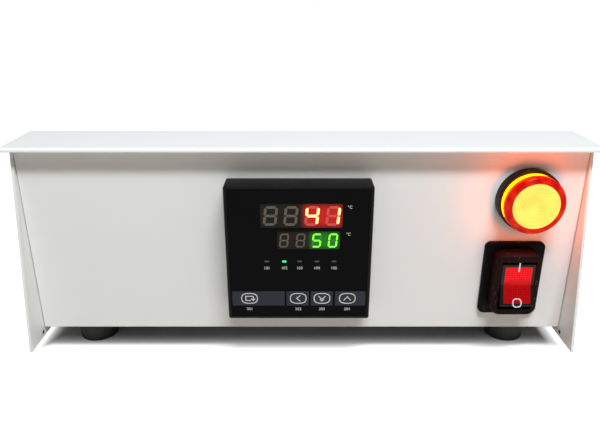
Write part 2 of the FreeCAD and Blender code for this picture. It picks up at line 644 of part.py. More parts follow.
def build_electrics():
    """Mains inlet, relay, terminals and earth point inside the case."""
    flange = block(centred(INLET[0], 32), (REAR, REAR + INLET_FLANGE), centred(INLET[1], 25))
    flange = rounded(flange, 3.0, "y")
    body_x = grown(centred(INLET[0], INLET_CUTOUT[0]), -2 * FIT)
    body_z = grown(centred(INLET[1], INLET_CUTOUT[1]), -2 * FIT)
    body = block(body_x, (REAR - INLET_DEPTH, REAR), body_z)
    socket_floor = REAR - INLET_DEPTH + 3.0
    socket_y = (socket_floor, REAR + INLET_FLANGE + PAST)
    socket = block(grown(body_x, -1.5), socket_y, grown(body_z, -1.6))
    save("mains_inlet", joined([flange, body]).cut(rounded(socket, 2.0, "y")))
    blades = []
    for x, z in ((-7, -1.5), (0, 2.5), (7, -1.5)):
        blade_y = (socket_floor, REAR - 4)
        blades.append(block(centred(INLET[0] + x, 2.0), blade_y, centred(INLET[1] + z, 4.0)))
    save("inlet_blades", Part.makeCompound(blades))

    sink_x = (-108.0, -48.0)
    sink_y = behind(14, 74)
    base = block(sink_x, sink_y, (PAN_TOP, PAN_TOP + 4))
    fins = []
    for step in range(3):
        for x in (sink_x[0] + 2.6 * step, sink_x[1] - 1.2 - 2.6 * step):
            fins.append(block((x, x + 1.2), sink_y, (PAN_TOP + 4, 40)))
    save("relay_heatsink", joined([base] + fins))
    relay = block(centred(sum(sink_x) / 2, 44), centred(sum(sink_y) / 2, 58), (PAN_TOP + 4, 45))
    save("solid_state_relay", relay.makeFillet(1.0, relay.Edges))

    strip_y = behind(48, 66)
    strip = block((46, 106), strip_y, (PAN_TOP, 32))
    wells = []
    for step in range(6):
        x = 51 + 10 * step
        wells.append(block(centred(x, 7), (strip_y[0] - 1, strip_y[1] + 1), (26, 33)))
    save("terminal_strip", strip.cut(wells))
    earth = (128.0, FRONT + 50)
    stud = rod(2.0, (*earth, PAN_TOP), (*earth, PAN_TOP + 14))
    nut = rod(3.6, (*earth, PAN_TOP), (*earth, PAN_TOP + 3.2))
    save("earth_stud", joined([stud, nut]))


os.makedirs("parts", exist_ok=True)
build_case()
build_fasteners()
build_oven()
build_lid()
build_controller()
build_lamp()
build_switch()
build_electrics()
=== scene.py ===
import json
import math

import bmesh
import bpy
from mathutils import Matrix, Vector


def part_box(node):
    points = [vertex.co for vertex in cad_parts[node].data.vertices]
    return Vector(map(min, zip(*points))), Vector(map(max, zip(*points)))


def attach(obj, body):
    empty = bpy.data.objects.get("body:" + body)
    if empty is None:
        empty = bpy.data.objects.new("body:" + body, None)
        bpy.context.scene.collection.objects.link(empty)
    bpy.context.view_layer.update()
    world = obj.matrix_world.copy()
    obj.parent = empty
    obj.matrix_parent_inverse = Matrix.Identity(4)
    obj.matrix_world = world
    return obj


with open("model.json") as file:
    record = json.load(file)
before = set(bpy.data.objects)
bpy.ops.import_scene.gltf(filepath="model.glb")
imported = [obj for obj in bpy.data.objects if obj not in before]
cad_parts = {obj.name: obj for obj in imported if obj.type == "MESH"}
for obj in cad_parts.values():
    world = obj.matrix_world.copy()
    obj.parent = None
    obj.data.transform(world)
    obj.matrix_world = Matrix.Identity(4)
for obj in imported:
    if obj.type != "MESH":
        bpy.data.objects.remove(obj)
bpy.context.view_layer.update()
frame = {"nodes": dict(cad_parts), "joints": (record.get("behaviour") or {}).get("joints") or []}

bl_info = {
    "name": "Benchtop Reflow Oven",
    "version": (1, 0, 0),
    "blender": (4, 5, 0),
    "location": "3D View > Sidebar > Reflow Oven",
    "description": "Finishes and printed details of a benchtop reflow oven on its packed frame",
    "category": "Object",
}

MM = 0.001
WELD = 0.002 * MM

# Places taken from the frame
BEZEL_LOW, BEZEL_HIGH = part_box("controller_bezel")
DISPLAY_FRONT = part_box("process_display")[0].y
KEYS = (1, 2, 3, 4)
KEY_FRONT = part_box("key_1")[0].y
LENS_LOW, LENS_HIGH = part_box("lamp_lens")
LENS_MIDDLE = (LENS_LOW + LENS_HIGH) / 2
ROCKER_LENS_LOW, ROCKER_LENS_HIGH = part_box("rocker_lens")
PANEL_LOW, PANEL_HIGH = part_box("front_panel")
FACE_X = (BEZEL_LOW.x + BEZEL_HIGH.x) / 2
FACE_TOP = BEZEL_HIGH.z
PANEL_FRONT = PANEL_LOW.y

# Light that strays over a display: where it starts and is full, from its first lit digit and from its edge
STRAY_RISE = (-2.2 * MM, 2.0 * MM)
STRAY_FALL = (1.5 * MM, -2.5 * MM)

# Rubbed plastic: how much paler its patches are than its colour
RUB_GAIN = 1.35
RUB_LIFT = 0.002

# Wave texture's scale for one wave in a unit
WAVE = math.pi / 10

# Way that the lens's facets face where a highlight is painted on them, up and to the right
HIGHLIGHT_FACING = (0.55, 0.0, 0.83)

# Map Range setting for a soft start and end
SMOOTH = {"interpolation_type": "SMOOTHSTEP"}

# Print: text size for figures of unit height, and the squareness of ovals, where 1 is an ellipse
FIGURE_SIZE = 1.4
OVAL_POWER = 0.75

# Photograph's camera, worked out from the controller's square bezel
FRAME_WIDTH_PX = 600
FOCAL_PX = 575.8
SENSOR_WIDTH = 36.0


def linear(code):
    """Linear RGBA of an sRGB hex value."""
    channels = [int(code[at:at + 2], 16) / 255 for at in (1, 3, 5)]
    return [c / 12.92 if c <= 0.04045 else ((c + 0.055) / 1.055) ** 2.4 for c in channels] + [1.0]


def cells(size):
    """Texture scale whose features are this many millimetres across."""
    return 1.0 / (size * MM)


def add(tree, kind, settings=None, values=(), **inputs):
    """A node with its settings and inputs, by place or by name: nodes are linked, hex values made linear."""
    made = tree.nodes.new("ShaderNode" + kind)
    for name, value in (settings or {}).items():
        setattr(made, name, value)
    given = list(zip(made.inputs, values))
    given += [(made.inputs[name.replace("_", " ")], value) for name, value in inputs.items()]
    for socket, value in given:
        if isinstance(value, bpy.types.Node):
            value = value.outputs[0]
        if isinstance(value, str):
            value = linear(value)
        if isinstance(value, bpy.types.NodeSocket):
            tree.links.new(value, socket)
        else:
            socket.default_value = value
    return made


def finish(name, recipe, *values):
    """A named finish, mixed by its recipe in coordinates of metres."""
    material = bpy.data.materials.get(name) or bpy.data.materials.new(name)
    material.use_nodes = True
    tree = material.node_tree
    tree.nodes.clear()
    place = add(tree, "TexCoord").outputs["Object"]
    add(tree, "OutputMaterial", Surface=recipe(tree, place, *values))
    return material


def powder_coat(tree, place, colour):
    """Powder-coated steel, sprayed and baked: a soft white with faint orange peel and rounded edges."""
    peel = add(tree, "TexNoise", Vector=place, Scale=cells(0.9), Detail=2.0)
    cloud = add(tree, "TexNoise", Vector=place, Scale=cells(60), Detail=3.0)
    tint = add(tree, "MapRange", Value=cloud, To_Min=0.965, To_Max=1.0)
    shade = add(tree, "VectorMath", {"operation": "SCALE"}, Vector=colour[:3], Scale=tint)
    gloss = add(tree, "MapRange", Value=peel, To_Min=0.36, To_Max=0.48)
    edge = add(tree, "Bevel", {"samples": 4}, Radius=0.35 * MM)
    bump = add(tree, "Bump", Strength=0.12, Distance=0.06 * MM, Height=peel, Normal=edge)
    return add(tree, "BsdfPrincipled", Base_Color=shade, Roughness=gloss, Normal=bump, IOR=1.5)


def moulded_plastic(tree, place, code, roughness, sheen=0.2):
    """Moulded plastic: a spark-eroded grain, drawn coarse enough to show, with paler rubbed patches."""
    texture = add(tree, "TexNoise", Vector=place, Scale=cells(0.35), Detail=2.0)
    rub = add(tree, "TexNoise", Vector=place, Scale=cells(14), Detail=4.0)
    base = linear(code)
    worn = [min(1.0, c * RUB_GAIN + RUB_LIFT) for c in base[:3]] + [1.0]
    shade = add(tree, "MixRGB", Fac=rub, Color1=base, Color2=worn)
    gloss = add(tree, "MapRange", Value=rub, To_Min=roughness - 0.07, To_Max=roughness + 0.07)
    edge = add(tree, "Bevel", {"samples": 4}, Radius=0.25 * MM)
    bump = add(tree, "Bump", Strength=0.15, Distance=0.05 * MM, Height=texture, Normal=edge)
    return add(tree, "BsdfPrincipled", Base_Color=shade, Specular_IOR_Level=sheen, Roughness=gloss,
               Normal=bump, IOR=1.5)


def dusty_rubber(tree, place, code):
    """Moulded soft cover that draws dust: dull black with small pale specks."""
    speck = add(tree, "TexVoronoi", Vector=place, Scale=cells(1.6))
    painted_streak = add(tree, "TexNoise", Vector=place, Scale=cells(8), Detail=3.0)
    dot = add(tree, "MapRange", Value=speck, From_Min=0.16, From_Max=0.08)
    where = add(tree, "MapRange", Value=painted_streak, From_Min=0.5, From_Max=0.66, To_Max=0.55)
    share = add(tree, "Math", {"operation": "MULTIPLY"}, (dot, where))
    shade = add(tree, "MixRGB", Fac=share, Color1=code, Color2="#B9B4AE")
    pebble = add(tree, "TexNoise", Vector=place, Scale=cells(0.4), Detail=2.0)
    edge = add(tree, "Bevel", {"samples": 4}, Radius=0.4 * MM)
    bump = add(tree, "Bump", Strength=0.25, Distance=0.06 * MM, Height=pebble, Normal=edge)
    return add(tree, "BsdfPrincipled", Base_Color=shade, Roughness=0.5, Specular_IOR_Level=0.05,
               Normal=bump)


def galvanised_sheet(tree, place):
    """Hot-dip galvanised sheet: grey zinc in flat crystals about 12 mm across."""
    crystal = add(tree, "TexVoronoi", Vector=place, Scale=cells(12))
    split = add(tree, "SeparateXYZ", Vector=crystal.outputs["Color"])
    shade = add(tree, "MixRGB", Fac=split.outputs["X"], Color1="#6E7276", Color2="#93979A")
    gloss = add(tree, "MapRange", Value=split.outputs["Y"], To_Min=0.42, To_Max=0.6)
    return add(tree, "BsdfPrincipled", Base_Color=shade, Metallic=0.9, Roughness=gloss)


def overlay_film(tree, place):
    """Polyester overlay, printed black on its back: deep black under a smooth gloss with faint smears."""
    smear = add(tree, "TexNoise", Vector=place, Scale=cells(22), Detail=5.0, Distortion=0.6)
    gloss = add(tree, "MapRange", Value=smear, To_Min=0.14, To_Max=0.3)
    shade = add(tree, "MixRGB", Fac=smear, Color1="#060606", Color2="#0B0B0B")
    return add(tree, "BsdfPrincipled", Base_Color=shade, Roughness=gloss, IOR=1.5,
               Specular_IOR_Level=0.03)


def screen_ink(tree, place):
    """White screen-printing ink: slightly uneven cover, nearly matt."""
    mottle = add(tree, "TexNoise", Vector=place, Scale=cells(0.6), Detail=2.0)
    shade = add(tree, "MixRGB", Fac=mottle, Color1="#C9C9C9", Color2="#F4F4F4")
    return add(tree, "BsdfPrincipled", Base_Color=shade, Roughness=0.55)


def lit_segments(tree, place, colour, strength):
    """Cast epoxy light bar with a diode under it: a steady glow with a slight ripple."""
    ripple = add(tree, "TexNoise", Vector=place, Scale=cells(1.2), Detail=1.0)
    level = add(tree, "MapRange", Value=ripple, To_Min=strength * 0.85, To_Max=strength * 1.1)
    return add(tree, "BsdfPrincipled", Base_Color=colour, Roughness=0.4, Emission_Color=colour,
               Emission_Strength=level)


def unlit_segments(tree, place):
    """Milky epoxy of a light bar that is off: a dull grey-brown ghost."""
    ripple = add(tree, "TexNoise", Vector=place, Scale=cells(0.8), Detail=2.0)
    shade = add(tree, "MixRGB", Fac=ripple, Color1="#5C544B", Color2="#70675C")
    return add(tree, "BsdfPrincipled", Base_Color=shade, Roughness=0.5, Specular_IOR_Level=0.15)


def display_face(tree, place, glow, start_x, end_x, middle_z, reach, strength):
    """Smoked display face: dull grey-brown, with stray light round the digits that are on."""
    grain = add(tree, "TexNoise", Vector=place, Scale=cells(0.7), Detail=2.0)
    shade = add(tree, "MixRGB", Fac=grain, Color1="#1E1A16", Color2="#28231E")
    split = add(tree, "SeparateXYZ", Vector=place)
    rise = add(tree, "MapRange", SMOOTH, Value=split.outputs["X"], From_Min=start_x + STRAY_RISE[0],
               From_Max=start_x + STRAY_RISE[1])
    fall = add(tree, "MapRange", SMOOTH, Value=split.outputs["X"], From_Min=end_x + STRAY_FALL[0],
               From_Max=end_x + STRAY_FALL[1])
    offset = add(tree, "Math", {"operation": "SUBTRACT"}, (split.outputs["Z"], middle_z))
    distance = add(tree, "Math", {"operation": "ABSOLUTE"}, (offset,))
    height = add(tree, "MapRange", SMOOTH, Value=distance, From_Min=reach * 1.15, From_Max=reach * 0.35,
                 To_Min=0.25)
    across = add(tree, "Math", {"operation": "MULTIPLY"}, (rise, fall))
    level = add(tree, "Math", {"operation": "MULTIPLY"}, (across, height))
    scaled = add(tree, "MapRange", Value=level, To_Max=strength)
    return add(tree, "BsdfPrincipled", Base_Color=shade, Roughness=0.35, Specular_IOR_Level=0.06,
               Emission_Color=glow, Emission_Strength=scaled)


def glowing_lens(tree, place, settings, nose_radius):
    """Moulded polycarbonate lens over lit diodes: orange facets in front, with a painted highlight that
    turns the facets facing up yellow, and stronger orange round its side.
    """
    spread = add(tree, "TexNoise", Vector=place, Scale=cells(9), Detail=2.0)
    facing = add(tree, "TexCoord").outputs["Normal"]
    # Painted highlight: facets that face one fixed way, up and to the right, glow yellow; the rest glow
    # orange.
    facet = add(tree, "VectorMath", {"operation": "DOT_PRODUCT"}, (facing, HIGHLIGHT_FACING))
    highlight_share = add(tree, "MapRange", Value=facet.outputs["Value"], From_Min=-0.35, From_Max=0.35)
    disc = add(tree, "MixRGB", Fac=highlight_share, Color1=settings.lens_low, Color2=settings.lens_high)
    arm = add(tree, "VectorMath", {"operation": "SUBTRACT"}, (place, LENS_MIDDLE))
    flat = add(tree, "VectorMath", {"operation": "MULTIPLY"}, (arm, (1.0, 0.0, 1.0)))
    radius = add(tree, "VectorMath", {"operation": "LENGTH"}, Vector=flat)
    side = add(tree, "MapRange", Value=radius.outputs["Value"], From_Min=nose_radius,
               From_Max=nose_radius + 0.5 * MM)
    shade = add(tree, "MixRGB", Fac=side, Color1=disc, Color2=settings.band)
    even = add(tree, "MapRange", Value=spread, From_Min=0.3, From_Max=0.7, To_Min=0.8, To_Max=1.1)
    level = add(tree, "MapRange", Value=side, To_Min=even, To_Max=settings.band_strength)
    return add(tree, "BsdfPrincipled", Base_Color="#B45A00", Roughness=0.2, IOR=1.58,
               Specular_IOR_Level=0.2, Emission_Color=shade, Emission_Strength=level)


def red_acrylic(tree, place, back, front, strength):
    """Clear red acrylic ring, polished: deep red, glossy, with the lens's light carried in from the back and
    painted streaks of refracted light in noise patches.
    """
    split = add(tree, "SeparateXYZ", Vector=place)
    carried = add(tree, "MapRange", SMOOTH, Value=split.outputs["Y"],
                  From_Min=front + (back - front) * 0.2, From_Max=back)
    flow = add(tree, "TexNoise", Vector=place, Scale=cells(9), Detail=2.0, Distortion=1.5)
    shade = add(tree, "MixRGB", Fac=flow, Color1="#8A0104", Color2="#C00509")
    # Painted light: noise patches glow brighter and more orange, as streaks of refracted light.
    painted_streak = add(tree, "MapRange", Value=flow, From_Min=0.4, From_Max=0.8, To_Max=0.3)
    share = add(tree, "Math", {"operation": "MAXIMUM"}, (carried, painted_streak))
    light = add(tree, "MixRGB", Fac=share, Color1=(1.0, 0.004, 0.002, 1.0), Color2=(1.0, 0.3, 0.01, 1.0))
    level = add(tree, "MapRange", Value=share, To_Min=strength * 0.28, To_Max=strength)
    return add(tree, "BsdfPrincipled", Base_Color=shade, Roughness=0.06, IOR=1.49, Specular_IOR_Level=0.0,
               Coat_Weight=0.14, Coat_Roughness=0.03, Emission_Color=light, Emission_Strength=level)


def rocker_acrylic(tree, place, strength):
    """Red acrylic rocker window over a neon: brighter in its upper half, with a fine moulded grid."""
    split = add(tree, "SeparateXYZ", Vector=place)
    middle = (ROCKER_LENS_LOW.z + ROCKER_LENS_HIGH.z) / 2
    up = add(tree, "MapRange", SMOOTH, Value=split.outputs["Z"], From_Min=middle - 2 * MM,
             From_Max=middle + 4 * MM, To_Min=0.34, To_Max=1.0)
    turned = add(tree, "Mapping", Vector=place, Rotation=(math.pi / 2, 0, 0))
    grid = add(tree, "TexBrick", {"offset": 0.0, "squash": 1.0}, Vector=turned, Scale=cells(1.25),
               Brick_Width=1.0, Row_Height=1.0, Mortar_Size=0.16, Mortar_Smooth=0.6, Color1=(1, 1, 1, 1),
               Color2=(0.8, 0.8, 0.8, 1), Mortar=(0.45, 0.45, 0.45, 1))
    cell = add(tree, "MapRange", Value=grid, To_Max=strength)
    level = add(tree, "Math", {"operation": "MULTIPLY"}, (up, cell))
    bump = add(tree, "Bump", Strength=0.35, Distance=0.15 * MM, Height=grid.outputs["Fac"])
    return add(tree, "BsdfPrincipled", Base_Color="#780104", Roughness=0.12, IOR=1.49,
               Specular_IOR_Level=0.08, Normal=bump, Emission_Color=(1.0, 0.01, 0.012, 1.0),
               Emission_Strength=level)


def brushed_stainless(tree, place):
    """Stainless sheet, brushed along its length: grey with fine streaks and a stretched highlight."""
    stretch = add(tree, "Mapping", Vector=place, Scale=(cells(40), cells(0.5), cells(0.5)))
    streak = add(tree, "TexNoise", Vector=stretch, Scale=1.0, Detail=4.0)
    shade = add(tree, "MixRGB", Fac=streak, Color1="#A3A09B", Color2="#CFCCC7")
    gloss = add(tree, "MapRange", Value=streak, To_Min=0.24, To_Max=0.44)
    bump = add(tree, "Bump", Strength=0.1, Distance=0.02 * MM, Height=streak)
    return add(tree, "BsdfPrincipled", Base_Color=shade, Metallic=1.0, Roughness=gloss, Normal=bump)


def milled_aluminium(tree, place):
    """Face-milled aluminium: pale metal with the cutter's shallow arcs, about 2 mm apart."""
    arcs = add(tree, "TexWave", {"wave_type": "RINGS", "rings_direction": "Z"}, Vector=place,
               Scale=cells(2.0) * WAVE, Distortion=0.8, Detail=2.0)
    heat = add(tree, "TexNoise", Vector=place, Scale=cells(50), Detail=3.0)
    shade = add(tree, "MixRGB", Fac=heat, Color1="#B9B4AA", Color2="#D6D6D4")
    gloss = add(tree, "MapRange", Value=arcs.outputs["Fac"], To_Min=0.32, To_Max=0.4)
    bump = add(tree, "Bump", Strength=0.08, Distance=0.02 * MM, Height=arcs.outputs["Fac"])
    return add(tree, "BsdfPrincipled", Base_Color=shade, Metallic=1.0, Roughness=gloss, Normal=bump)


def plated_metal(tree, place, low, high, roughness):
    """Plated small part: bright metal with a faint clouding of the plating."""
    cloud = add(tree, "TexNoise", Vector=place, Scale=cells(3), Detail=4.0)
    shade = add(tree, "MixRGB", Fac=cloud, Color1=low, Color2=high)
    gloss = add(tree, "MapRange", Value=cloud, To_Min=roughness - 0.08, To_Max=roughness + 0.1)
    return add(tree, "BsdfPrincipled", Base_Color=shade, Metallic=1.0, Roughness=gloss)


def soft_rubber(tree, place, low, high, roughness):
    """Moulded elastomer: dull, with a fine pebble and dusty patches."""
    pebble = add(tree, "TexNoise", Vector=place, Scale=cells(0.5), Detail=2.0)
    dust = add(tree, "TexNoise", Vector=place, Scale=cells(7), Detail=4.0)
    shade = add(tree, "MixRGB", Fac=dust, Color1=low, Color2=high)
    bump = add(tree, "Bump", Strength=0.3, Distance=0.08 * MM, Height=pebble)
    return add(tree, "BsdfPrincipled", Base_Color=shade, Roughness=roughness, Normal=bump)


def glass_wool(tree, place):
    """Needled glass-wool blanket: pale yellow tangled fibre, quite matt."""
    stretch = add(tree, "Mapping", Vector=place, Scale=(cells(6), cells(1.2), cells(1.2)))
    fibre = add(tree, "TexNoise", Vector=stretch, Scale=1.0, Detail=6.0, Distortion=1.5)
    shade = add(tree, "MixRGB", Fac=fibre, Color1="#C9B98A", Color2="#EFE6C8")
    bump = add(tree, "Bump", Strength=0.8, Distance=0.6 * MM, Height=fibre)
    return add(tree, "BsdfPrincipled", Base_Color=shade, Roughness=0.95, Normal=bump)


def solder_mask(tree, place):
    """Glass-epoxy board under green solder mask: glossy green with paler copper runs."""
    runs = add(tree, "TexBrick", Vector=place, Scale=cells(6), Mortar_Size=0.08, Color1="#0E4A23",
               Color2="#125A2A", Mortar="#1E7A3A")
    return add(tree, "BsdfPrincipled", Base_Color=runs, Roughness=0.25)


def tempered_glass(tree, place):
    """Tempered float glass: clear, faintly green, with barely visible wipe marks."""
    wipe = add(tree, "TexNoise", Vector=place, Scale=cells(35), Detail=4.0, Distortion=1.0)
    gloss = add(tree, "MapRange", Value=wipe, From_Min=0.45, From_Max=0.75, To_Min=0.0, To_Max=0.06)
    return add(tree, "BsdfPrincipled", Base_Color="#E3F2EC", Roughness=gloss, IOR=1.52,
               Transmission_Weight=1.0)


def dress(material, *names):
    """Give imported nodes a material."""
    for name in names:
        mesh = frame["nodes"][name].data
        mesh.materials.clear()
        mesh.materials.append(material)


def placed(name, data):
    """A new object in the scene."""
    made = bpy.data.objects.new(name, data)
    bpy.context.scene.collection.objects.link(made)
    return made


def piece(name, shape, material, body):
    """A new piece from a bmesh, with its faces turned outwards, that rides on a body."""
    bmesh.ops.recalc_face_normals(shape, faces=shape.faces)
    mesh = bpy.data.meshes.new(name)
    shape.to_mesh(mesh)
    shape.free()
    mesh.materials.append(material)
    made = placed(name, mesh)
    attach(made, body)


def slab(outlines, front, thickness):
    """Closed plates facing the front, from outlines of (x, z) in metres that share corners."""
    shape = bmesh.new()
    corners = {}
    faces = []
    for outline in outlines:
        loop = []
        for x, z in outline:
            spot = (round(x / WELD), round(z / WELD))
            if spot not in corners:
                corners[spot] = shape.verts.new((x, front + thickness, z))
            loop.append(corners[spot])
        faces.append(shape.faces.new(loop))
    raised = bmesh.ops.extrude_face_region(shape, geom=faces)
    moved = [item for item in raised["geom"] if isinstance(item, bmesh.types.BMVert)]
    bmesh.ops.translate(shape, verts=moved, vec=(0, -thickness, 0))
    return shape


def on_face(x, drop):
    """A place on the controller's face, from millimetres sideways and down, as (x, z) in metres."""
    return (FACE_X + x * MM, FACE_TOP - drop * MM)


def stroke(points, width):
    """Outlines of a bent line's runs, with mitred corners and square ends."""
    points = [Vector(point) for point in points]
    runs = [(b - a).normalized() for a, b in zip(points, points[1:])]
    points[0] = points[0] - runs[0] * width / 2
    points[-1] = points[-1] + runs[-1] * width / 2
    pairs = []
    for point, before, after in zip(points, runs[:1] + runs, runs + runs[-1:]):
        along = (before + after).normalized()
        side = Vector((-along.y, along.x)) * width / 2 / along.dot(after)
        pairs.append((point - side, point + side))
    return [(a[0], b[0], b[1], a[1]) for a, b in zip(pairs, pairs[1:])]


def oval_points(centre, width, height, count=40):
    """Points round a superellipse, closed."""
    points = []
    for step in range(count + 1):
        angle = 2 * math.pi * step / count
        c, s = math.cos(angle), math.sin(angle)
        x = math.copysign(abs(c) ** OVAL_POWER, c) * width / 2
        z = math.copysign(abs(s) ** OVAL_POWER, s) * height / 2
        points.append((centre[0] + x, centre[1] + z))
    return points


def ring(centre, width, height, line, front, thickness):
    """Printed oval ring."""
    outer = oval_points(centre, width + line, height + line)
    inner = oval_points(centre, width - line, height - line)
    outlines = []
    for at in range(len(outer) - 1):
        outlines.append([outer[at], outer[at + 1], inner[at + 1], inner[at]])
    return slab(outlines, front, thickness)


def merged(shapes):
    """One bmesh from several."""
    first = shapes[0]
    for other in shapes[1:]:
        mesh = bpy.data.meshes.new("part")
        other.to_mesh(mesh)
        other.free()
        first.from_mesh(mesh)
        bpy.data.meshes.remove(mesh)
    return first


def figures(text, place, height, front, thickness):
    """Plain printed figures, centred on a place and facing the front."""
    curve = bpy.data.curves.new("figures", "FONT")
    curve.body = text
    curve.size = height * FIGURE_SIZE
    curve.align_x = "CENTER"
    curve.align_y = "CENTER"
    curve.extrude = thickness / 2
    holder = placed("figures", curve)
    bpy.context.view_layer.update()
    graph = bpy.context.evaluated_depsgraph_get()
    mesh = bpy.data.meshes.new_from_object(holder.evaluated_get(graph))
    bpy.data.objects.remove(holder)
    bpy.data.curves.remove(curve)
    seat = Matrix.Translation((place[0], front + thickness / 2, place[1]))
    mesh.transform(seat @ Matrix.Rotation(math.pi / 2, 4, "X"))
    shape = bmesh.new()
    shape.from_mesh(mesh)
    bpy.data.meshes.remove(mesh)
    bmesh.ops.remove_doubles(shape, verts=shape.verts, dist=WELD)
    return shape


# Seven-segment digits: the bars lit for each figure that shows, and the gap at a bar's ends by its width
SEGMENTS = "abcdefg"
LIT_BARS = {"0": "abcdef", "1": "bc", "4": "bcfg", "5": "acdfg", " ": ""}
BAR_GAP = 0.12


def bars(centre, width, height, line, slant):
    """The seven bars of a digit as six-cornered outlines."""
    half = height / 2
    side = width / 2
    gap = line * BAR_GAP
    ends = {
        "a": ((-side, half), (side, half)),
        "b": ((side, half), (side, 0)),
        "c": ((side, 0), (side, -half)),
        "d": ((-side, -half), (side, -half)),
        "e": ((-side, 0), (-side, -half)),
        "f": ((-side, half), (-side, 0)),
        "g": ((-side, 0), (side, 0)),
    }
    outlines = {}
    for name, (first, second) in ends.items():
        a, b = Vector(first), Vector(second)
        along = (b - a).normalized()
        across = Vector((-along.y, along.x)) * line / 2
        a = a + along * gap
        b = b - along * gap
        tip = along * line / 2
        corners = (a, a + tip + across, b - tip + across, b, b - tip - across, a + tip - across)
        outlines[name] = [(centre[0] + c.x + c.y * slant, centre[1] + c.y) for c in corners]
    return outlines


class CaseSettings(bpy.types.PropertyGroup):
    """Finish of the sheet-metal case."""
    paint: bpy.props.FloatVectorProperty(
        name="Paint", description="Colour of the powder coat", subtype="COLOR", size=4, min=0, max=1,
        default=linear("#EFEFED"))


class ControllerSettings(bpy.types.PropertyGroup):
    """Printed and lit details of the temperature controller."""
    process_colour: bpy.props.FloatVectorProperty(
        name="Process", description="Colour of the upper digits", subtype="COLOR", size=4, min=0, max=1,
        default=(1.0, 0.3, 0.1, 1.0))
    setpoint_colour: bpy.props.FloatVectorProperty(
        name="Setpoint", description="Colour of the lower digits", subtype="COLOR", size=4, min=0, max=1,
        default=(0.2, 1.0, 0.05, 1.0))
    process_text: bpy.props.StringProperty(
        name="Process text", description="Figures on the upper display", default="  41")
    setpoint_text: bpy.props.StringProperty(
        name="Setpoint text", description="Figures on the lower display", default="  50")
    print_height: bpy.props.FloatProperty(
        name="Print", description="Height of printed figures", default=1.5 * MM, subtype="DISTANCE",
        unit="LENGTH")
    film: bpy.props.FloatProperty(
        name="Film", description="Thickness of the overlay film", default=0.25 * MM, subtype="DISTANCE",
        unit="LENGTH")


class LampSettings(bpy.types.PropertyGroup):
    """Glow of the pilot lamp and the switch."""
    lens_low: bpy.props.FloatVectorProperty(
        name="Lens, dull", description="Colour of the lens's dull facets", default=(1.0, 0.62, 0.02, 1.0),
        subtype="COLOR", size=4, min=0, max=1)
    # Colour of the painted highlight on the lens's facets that face up
    lens_high: bpy.props.FloatVectorProperty(
        name="Lens, bright", description="Colour of the lens's bright facets", default=(1.0, 1.0, 0.26, 1.0),
        subtype="COLOR", size=4, min=0, max=1)
    band: bpy.props.FloatVectorProperty(
        name="Band", description="Colour of the light from the lens's side", default=(1.0, 0.12, 0.0, 1.0),
        subtype="COLOR", size=4, min=0, max=1)
    band_strength: bpy.props.FloatProperty(
        name="Band strength", description="Brightness of the lens's side", default=18.5, min=0)
    glow: bpy.props.FloatVectorProperty(
        name="Glow", description="Colour of the light that the lamp throws on the panel",
        default=(1.0, 0.2, 0.0), subtype="COLOR", size=3, min=0, max=1)
    throw: bpy.props.FloatProperty(
        name="Throw", description="Power of the light that the lamp throws", subtype="POWER", unit="POWER",
        default=0.001, min=0)
    prism: bpy.props.FloatProperty(
        name="Prism", description="Width of one prism on the lens", default=1.0 * MM, subtype="DISTANCE",
        unit="LENGTH")
    rocker: bpy.props.FloatProperty(
        name="Rocker", description="Brightness of the rocker window", default=0.95, min=0)


class StageSettings(bpy.types.PropertyGroup):
    """Camera and light."""
    camera: bpy.props.FloatVectorProperty(
        name="Camera", description="Place of the camera", subtype="TRANSLATION", unit="LENGTH",
        default=(-0.8 * MM, PANEL_FRONT - 269.6 * MM, 187.2 * MM))
    pitch: bpy.props.FloatProperty(
        name="Pitch", description="How far the camera looks down", subtype="ANGLE", unit="ROTATION",
        default=math.radians(21.07))
    key: bpy.props.FloatProperty(
        name="Key", description="Power of the key light", default=13.7, min=0, subtype="POWER", unit="POWER")
    rear: bpy.props.FloatProperty(
        name="Rear", description="Power of the low light behind the oven", subtype="POWER", unit="POWER",
        default=5.0, min=0)
    key_colour: bpy.props.FloatVectorProperty(
        name="Light colour", description="Colour of both soft lights", default=(0.9, 0.955, 1.0),
        subtype="COLOR", size=3, min=0, max=1)
    shade: bpy.props.FloatVectorProperty(
        name="Shade", description="Colour of the light all round, which fills the shadows",
        default=(1.0, 0.88, 0.75, 1.0), subtype="COLOR", size=4, min=0, max=1)
    ambient: bpy.props.FloatProperty(
        name="Ambient", description="Level of the light all round", default=0.155, min=0)


